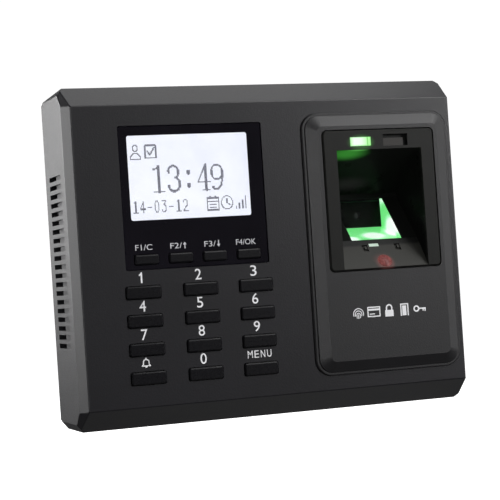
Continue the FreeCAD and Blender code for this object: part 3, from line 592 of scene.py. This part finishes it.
def print_text(name, text, cx, cz, y, height, width, bold=0.0, kind="ink"):
    """Plain sans lettering as a thin film, fitted to a height and width in mm."""
    letters = bpy.data.curves.new(name, "FONT")
    letters.body = text
    letters.size = 1.0
    letters.offset = bold
    letters.extrude = 0.004
    letters.resolution_u = 6
    temp = bpy.data.objects.new(name + "_src", letters)
    bpy.context.scene.collection.objects.link(temp)
    bpy.context.view_layer.update()
    shape = temp.evaluated_get(bpy.context.evaluated_depsgraph_get())
    mesh = bpy.data.meshes.new_from_object(shape)
    bpy.data.objects.remove(temp)
    xs = [v.co.x for v in mesh.vertices]
    ys = [v.co.y for v in mesh.vertices]
    sx = width / (max(xs) - min(xs))
    sz = height / (max(ys) - min(ys))
    mx, my = (max(xs) + min(xs)) / 2, (max(ys) + min(ys)) / 2
    for v in mesh.vertices:
        x = cx + (v.co.x - mx) * sx
        z = cz + (v.co.y - my) * sz
        d = y - FILM_GAP - (FILM if v.co.z > 0 else 0.0)
        v.co = Vector((x * MM, d * MM, z * MM))
    mesh.name = name
    return add_piece(name, mesh, kind)


def node_mid(name):
    """Middle of a CAD node in mm."""
    a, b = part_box(name)
    return [(a[i] + b[i]) / 2 / MM for i in range(3)]


face_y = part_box("front_cover")[0][1] / MM
window_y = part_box("display_window")[0][1] / MM
panel_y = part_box("sensor_panel")[0][1] / MM

# Labels stand above their key and a little to its left (mm from the key's middle).
DIGIT_H, DIGIT_W = 4.3, 2.65
LABEL_X, DIGIT_Z, SIGN_Z = -0.75, 5.95, 6.0
BOLD = 0.004
for digit in "234567890":
    kx, _, kz = node_mid("key_" + digit)
    print_text("label_" + digit, digit, kx + LABEL_X, kz + DIGIT_Z, face_y,
               DIGIT_H, DIGIT_W, BOLD)
kx, _, kz = node_mid("key_1")
one_bar = [(-0.05, -DIGIT_H / 2), (0.6, -DIGIT_H / 2), (0.6, DIGIT_H / 2), (0.1, DIGIT_H / 2),
           (-0.05, 1.75)]
one_flag = [(0.1, DIGIT_H / 2), (-0.05, 1.75), (-0.75, 1.15), (-0.75, 0.6), (-0.05, 0.95),
            (0.3, 1.4)]
print_shapes("label_1", [one_bar, one_flag], kx + LABEL_X, kz + DIGIT_Z, face_y)
kx, _, kz = node_mid("key_menu")
MENU_X, MENU_PITCH, MENU_H = -0.3, 2.75, 3.0
MENU_WIDTHS = {"M": 2.2, "E": 1.9, "N": 1.9, "U": 1.9}
for i, (letter, wide) in enumerate(MENU_WIDTHS.items()):
    print_text("label_menu_" + letter, letter, kx + MENU_X + (i - 1.5) * MENU_PITCH, kz + SIGN_Z,
               face_y, MENU_H, wide, BOLD)

# bell over the last key of the first column
kx, _, kz = node_mid("key_bell")
bell_line = stroke([(-1.75, -1.05), (-1.2, -0.45)] + arc(0.0, 0.35, 1.15, 180, 0, 12)
                   + [(1.2, -0.45), (1.75, -1.05)], 0.22, True)
bell_top = stroke([(0.0, 1.4), (0.0, 1.95)], 0.25)
clapper = arc(0.0, -1.25, 0.55, 180, 360, 10)
print_shapes("label_bell", bell_line + bell_top + [clapper], kx + LABEL_X, kz + SIGN_Z, face_y)

# function keys: letters on the window (text, middle and width in mm), the arrows drawn
F_LABEL_H, F_LABEL_Z, ARROW_X = 2.25, 4.95, 1.9
F_LABELS = {"f1": ("F1/C", -0.9, 7.0), "f2": ("F2/", -1.75, 4.9), "f3": ("F3/", -1.75, 4.9),
            "f4": ("F4/OK", -0.9, 8.5)}
for key, (text, dx, wide) in F_LABELS.items():
    kx, _, kz = node_mid("key_" + key)
    print_text("label_" + key, text, kx + dx, kz + F_LABEL_Z, window_y, F_LABEL_H, wide,
               kind="window_ink")
for key, up in (("f2", 1), ("f3", -1)):
    kx, _, kz = node_mid("key_" + key)
    shaft = stroke([(0.0, -1.2 * up), (0.0, 0.6 * up)], 0.2)
    head = [[(-0.75, 0.25 * up), (0.75, 0.25 * up), (0.0, 1.35 * up)]]
    print_shapes("label_arrow_" + key, shaft + head, kx + ARROW_X, kz + F_LABEL_Z, window_y,
                 "window_ink")

# row of plain signs on the raised panel
signs = {
    "finger": stroke(arc(0, -0.9, 0.75, 0, 180), 0.17) + stroke(arc(0, -0.7, 1.5, -25, 205), 0.17)
    + stroke(arc(0, -0.5, 2.25, -20, 200), 0.17) + stroke([(-0.75, -0.9), (-0.75, -2.2)], 0.17)
    + stroke([(0.75, -0.9), (0.7, -2.1)], 0.17) + stroke([(0.0, -0.7), (0.0, -2.4)], 0.17),
    "lock": [[(-1.9, -2.4), (1.9, -2.4), (1.9, 0.3), (-1.9, 0.3)]]
    + stroke([(-1.2, 0.2), (-1.2, 1.2)] + arc(0, 1.2, 1.2, 180, 0) + [(1.2, 0.2)], 0.3),
    "card": stroke([(-2.7, -1.9), (2.7, -1.9), (2.7, 1.9), (-2.7, 1.9)], 0.24, True)
    + [[(-2.6, 0.5), (2.6, 0.5), (2.6, 1.3), (-2.6, 1.3)]]
    + stroke([(-1.9, -0.9), (0.3, -0.9)], 0.2),
    "door": stroke([(-1.6, -2.4), (-1.6, 2.3), (1.6, 2.3), (1.6, -2.4)], 0.26)
    + [[(-1.0, -2.4), (0.8, -2.4), (0.8, 1.7), (-1.0, 1.7)]],
    "key": stroke(arc(-1.5, 0.0, 1.05, 0, 360, 20), 0.3) + stroke([(-0.4, 0.0), (2.7, 0.0)], 0.28)
    + stroke([(2.5, 0.0), (2.5, -1.1)], 0.26) + stroke([(1.6, 0.0), (1.6, -0.9)], 0.26),
}
SIGNS_X, SIGNS_Z, SIGN_PITCH = 33.4, -28.9, 7.0
for i, sign in enumerate(("finger", "card", "lock", "door", "key")):
    print_shapes("sign_" + sign, signs[sign], SIGNS_X + i * SIGN_PITCH, SIGNS_Z, panel_y)


# ------------------------------------------------------------ display picture
def raster(strokes, cols, rows):
    """Dots whose centre lies within a stroke; each stroke is (points, half width)."""
    found = set()
    for points, half in strokes:
        for (ax, ay), (bx, by) in zip(points[:-1], points[1:]):
            dx, dy = bx - ax, by - ay
            size = dx * dx + dy * dy
            for c in range(cols):
                for r in range(rows):
                    px, py = c + 0.5, r + 0.5
                    along = 0.0 if size == 0 else ((px - ax) * dx + (py - ay) * dy) / size
                    t = max(0.0, min(1.0, along))
                    if math.hypot(px - ax - t * dx, py - ay - t * dy) <= half:
                        found.add((c, r))
    return found


def curve(cx, cy, rx, ry, a0, a1, steps=18):
    """Points round an ellipse; rows count downwards."""
    out = []
    for i in range(steps + 1):
        a = math.radians(a0 + (a1 - a0) * i / steps)
        out.append((cx + rx * math.cos(a), cy - ry * math.sin(a)))
    return out


# Signs of the screen, as strokes on its dot grid: (points, half width) in dots, rows downwards.
THIN = 0.55
BOLDER = 1.25
BIG = {
    "1": [([(7.0, 1.5), (7.0, 26.5)], 1.25), ([(3.0, 4.5), (7.0, 2.5)], 0.7),
          ([(3.5, 26.6), (10.6, 26.6)], 0.6)],
    "3": [(curve(6.2, 7.4, 4.6, 6.2, 165, -70), 0.85),
          (curve(6.4, 19.6, 5.0, 7.0, 75, -165), 0.95),
          ([(10.4, 6.0), (10.6, 9.0)], 1.2), ([(11.0, 17.5), (11.0, 21.5)], 1.3),
          ([(2.2, 6.4), (2.3, 7.4)], 1.1), ([(2.0, 21.0), (2.1, 22.4)], 1.2)],
    "4": [([(8.6, 1.5), (8.6, 26.4)], 1.25), ([(8.0, 2.0), (1.2, 18.6)], 0.6),
          ([(1.2, 18.8), (12.4, 18.8)], THIN), ([(5.6, 26.6), (11.6, 26.6)], THIN)],
    "9": [(curve(6.3, 9.0, 5.0, 7.4, 0, 360), 0.75),
          ([(11.0, 8.0), (11.0, 16.0), (9.8, 22.0), (7.4, 25.6), (5.0, 26.3), (3.2, 25.4)], 0.85),
          ([(1.7, 7.4), (1.7, 11.0)], 1.15), ([(11.1, 8.0), (11.1, 14.0)], 1.15),
          ([(2.9, 24.0), (3.0, 24.6)], 1.1)],
    ":": [([(3.0, 8.0), (3.0, 8.4)], 1.9), ([(3.0, 21.0), (3.0, 21.4)], 1.9)],
}
SMALL = {
    "0": [(curve(3.5, 7.0, 2.4, 5.6, 0, 360), THIN)],
    "1": [([(4.0, 1.4), (4.0, 12.2)], THIN), ([(2.2, 3.0), (4.0, 1.4)], 0.5),
          ([(2.0, 12.5), (6.0, 12.5)], 0.5)],
    "2": [(curve(3.5, 4.6, 2.4, 3.4, 170, -30), THIN),
          ([(5.6, 6.4), (1.4, 12.4), (6.4, 12.4)], THIN)],
    "3": [([(1.4, 1.5), (5.8, 1.5), (3.4, 5.6)], THIN),
          (curve(3.4, 9.0, 2.5, 3.6, 90, -165), THIN)],
    "4": [([(4.8, 1.4), (4.8, 12.6)], THIN), ([(4.6, 1.6), (0.9, 9.0), (6.6, 9.0)], THIN)],
    "-": [([(1.6, 7.4), (5.6, 7.4)], THIN)],
}
ICONS = {
    "person": [(curve(8, 4.4, 2.6, 3.0, 0, 360), 0.6), (curve(8, 15.5, 5.6, 6.0, 0, 180), 0.6),
               ([(2.4, 15.2), (13.6, 15.2)], THIN)],
    "tick": [([(2, 2), (14, 2), (14, 14.5), (2, 14.5), (2, 2)], THIN),
             ([(4.5, 8.0), (7.2, 11.4), (12.0, 4.6)], 0.8)],
    "calendar": [([(1.5, 3), (14.5, 3), (14.5, 15), (1.5, 15), (1.5, 3)], THIN),
                 ([(1.5, 6.5), (14.5, 6.5)], THIN), ([(5, 1), (5, 4)], THIN),
                 ([(11, 1), (11, 4)], THIN), ([(4, 9.5), (12, 9.5)], 0.45),
                 ([(4, 12.3), (12, 12.3)], 0.45)],
    "clock": [(curve(8, 8.2, 6.4, 6.6, 0, 360), THIN), ([(8, 4), (8, 8.4), (11.4, 10.4)], THIN)],
    "signal": [([(2.5, 12.6), (2.5, 14.4)], 0.9), ([(6.2, 9.6), (6.2, 14.4)], 0.9),
               ([(9.9, 6.4), (9.9, 14.4)], 0.9), ([(13.5, 2.8), (13.5, 14.4)], 0.9)],
}

# the screen's visible area (mm) and its grid of dots
SCREEN_X0, SCREEN_X1, SCREEN_Z0, SCREEN_Z1 = -60.0, -9.3, 14.0, 47.8
SCREEN_COLS, SCREEN_ROWS = 136.0, 84.0
DOT_W = (SCREEN_X1 - SCREEN_X0) / SCREEN_COLS
DOT_H = (SCREEN_Z1 - SCREEN_Z0) / SCREEN_ROWS
DOT_EDGE, DOT_LIFT = 0.04, 0.015
lit = set()


def put(strokes, col, row, cols, rows):
    """Darkens the dots of a sign whose cell starts at (col, row)."""
    for c, r in raster(strokes, cols, rows):
        lit.add((col + c, row + r))


def widened(strokes, widen, shift):
    """The same strokes on a wider dot grid, a little bolder."""
    return [([(x * widen + shift, y) for x, y in points], half * BOLDER)
            for points, half in strokes]


ICON = 16
TOP_ROW, BIG_ROW, ICON_ROW, DATE_ROW = 8, 30, 62, 64
put(ICONS["person"], 1, TOP_ROW, ICON, ICON)
put(ICONS["tick"], 18, TOP_ROW, ICON, ICON)
for col, sign, widen, shift in ((27, "1", 1.6, -4.6), (42, "3", 1.3, 0.0), (64, ":", 1.0, 0.0),
                                (76, "4", 1.25, 0.0), (91, "9", 1.3, 0.0)):
    put(widened(BIG[sign], widen, shift), col, BIG_ROW, 18, 28)
for i, sign in enumerate("14-03-12"):
    put(SMALL[sign], 2 + i * 8, DATE_ROW, 8, 14)
for i, icon in enumerate(("calendar", "clock", "signal")):
    put(ICONS[icon], 85 + i * ICON, ICON_ROW, ICON, ICON)

dots = bpy.data.meshes.new("lcd_picture")
bm = bmesh.new()
dot_y = (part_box("lcd_glass")[0][1] / MM - DOT_LIFT) * MM
for c, r in sorted(lit):
    x0 = (SCREEN_X0 + (c + DOT_EDGE) * DOT_W) * MM
    x1 = (SCREEN_X0 + (c + 1 - DOT_EDGE) * DOT_W) * MM
    z1 = (SCREEN_Z1 - (r + DOT_EDGE) * DOT_H) * MM
    z0 = (SCREEN_Z1 - (r + 1 - DOT_EDGE) * DOT_H) * MM
    corners = ((x0, dot_y, z0), (x1, dot_y, z0), (x1, dot_y, z1), (x0, dot_y, z1))
    bm.faces.new([bm.verts.new(corner) for corner in corners])
bm.to_mesh(dots)
bm.free()
add_piece("lcd_picture", dots, "dots")


# --------------------------------------------------------------------- stage
FLOOR_HALF, FLOOR_Z = 6.0, -0.16
FLOOR_GLOW = 1.1


def stage_floor():
    """Pale floor; it reads as an even pale sweep and doesn't light the object from below."""
    mesh = bpy.data.meshes.new("floor")
    corners = [(x * FLOOR_HALF, y * FLOOR_HALF, FLOOR_Z)
               for x, y in ((-1, -1), (1, -1), (1, 1), (-1, 1))]
    mesh.from_pydata(corners, [], [(0, 1, 2, 3)])
    obj = bpy.data.objects.new("floor", mesh)
    bpy.context.scene.collection.objects.link(obj)
    mat, tree, shader, links = new_material("floor_pale")
    slow = noise(tree, 3.0)
    pale = ramp(tree, slow.outputs["Fac"], [(0.3, (0.93, 0.93, 0.93)), (0.7, (0.95, 0.95, 0.95))])
    links.new(pale, shader.inputs["Base Color"])
    links.new(pale, shader.inputs["Emission Color"])
    shader.inputs["Emission Strength"].default_value = FLOOR_GLOW
    shader.inputs["Roughness"].default_value = 0.9
    shader.inputs["Specular IOR Level"].default_value = 0.0
    mesh.materials.append(mat)
    obj.visible_diffuse = False
    obj.visible_glossy = False
    obj.visible_shadow = False


def soft_box(name, place, aim, width, height, power):
    """White rectangular light aimed at a point; metres and watts."""
    data = bpy.data.lights.new(name, "AREA")
    data.shape = "RECTANGLE"
    data.size = width
    data.size_y = height
    data.energy = power
    obj = bpy.data.objects.new(name, data)
    obj.location = place
    obj.rotation_mode = "QUATERNION"
    obj.rotation_quaternion = (Vector(aim) - Vector(place)).to_track_quat("-Z", "Y")
    bpy.context.scene.collection.objects.link(obj)


stage_floor()

# a white studio: dim as a light, bright where the camera sees it
WORLD_LIGHT, WORLD_SEEN = 0.09, 1.05
world = bpy.data.worlds.new("studio")
bpy.context.scene.world = world
world.use_nodes = True
wt = world.node_tree
around = wt.nodes["Background"]
seen = wt.nodes.new("ShaderNodeBackground")
for node, strength in ((around, WORLD_LIGHT), (seen, WORLD_SEEN)):
    node.inputs["Color"].default_value = (1.0, 1.0, 1.0, 1.0)
    node.inputs["Strength"].default_value = strength
path = wt.nodes.new("ShaderNodeLightPath")
mix = wt.nodes.new("ShaderNodeMixShader")
wt.links.new(path.outputs["Is Camera Ray"], mix.inputs[0])
wt.links.new(around.outputs[0], mix.inputs[1])
wt.links.new(seen.outputs[0], mix.inputs[2])
wt.links.new(mix.outputs[0], wt.nodes["World Output"].inputs["Surface"])

# Soft boxes: place, width, height (m) and power (W). The back and left ones rake the left wall
# and the top, those at the right and above shade the front, and front_left_light picks out the
# bevel between the left wall and the face.
LIGHTS = {
    "back_left_light": ((-1.0, 1.1, 0.36), 1.0, 0.8, 16.0),
    "left_light": ((-1.5, 0.3, 0.22), 0.8, 0.7, 8.0),
    "back_top_light": ((0.3, 0.8, 1.2), 1.0, 0.8, 3.7),
    "top_edge_light": ((0.42, -0.24, 1.1), 0.5, 0.3, 1.6),
    "right_light": ((1.5, -0.2, 0.2), 0.8, 0.8, 3.5),
    "top_right_light": ((0.9, -0.9, 1.0), 0.7, 0.7, 10.0),
    "top_near_light": ((0.15, -0.6, 0.75), 0.5, 0.4, 1.0),
    "sheen_light": ((1.02, -1.2, 0.34), 0.35, 0.5, 6.2),
    "high_sheen_light": ((0.78, -1.2, 0.6), 0.4, 0.4, 2.0),
    "front_left_light": ((-0.55, -1.2, 0.15), 0.35, 0.5, 3.4),
    "low_light": ((0.4, 0.1, -1.0), 0.8, 0.6, 0.3),
}
AIM = (0.0, -0.02, 0.0)
for name, (place, width, height, power) in LIGHTS.items():
    soft_box(name, place, AIM, width, height, power)
bpy.context.scene.view_settings.view_transform = "Standard"
bpy.context.scene.view_settings.look = "None"

# -------------------------------------------------------------------- camera
# metres and degrees: left of the face, looking slightly up
CAMERA_PLACE = (-0.2336, -0.6496, -0.0112)
CAMERA_AZIMUTH, CAMERA_ELEVATION, CAMERA_ROLL = 20.035, 0.966, -3.74
SENSOR, LENS = 36.0, 115.2
cam = bpy.data.cameras.new("camera")
cam.sensor_width = SENSOR
cam.lens = LENS
cam.clip_start = 0.01
cam.clip_end = 50.0
eye = bpy.data.objects.new("camera", cam)
aim = Matrix.Rotation(math.radians(-CAMERA_AZIMUTH), 4, "Z")
tilt = Matrix.Rotation(math.radians(90.0 + CAMERA_ELEVATION), 4, "X")
roll = Matrix.Rotation(math.radians(CAMERA_ROLL), 4, "Z")
eye.matrix_world = Matrix.Translation(CAMERA_PLACE) @ aim @ tilt @ roll
bpy.context.scene.collection.objects.link(eye)
bpy.context.scene.camera = eye
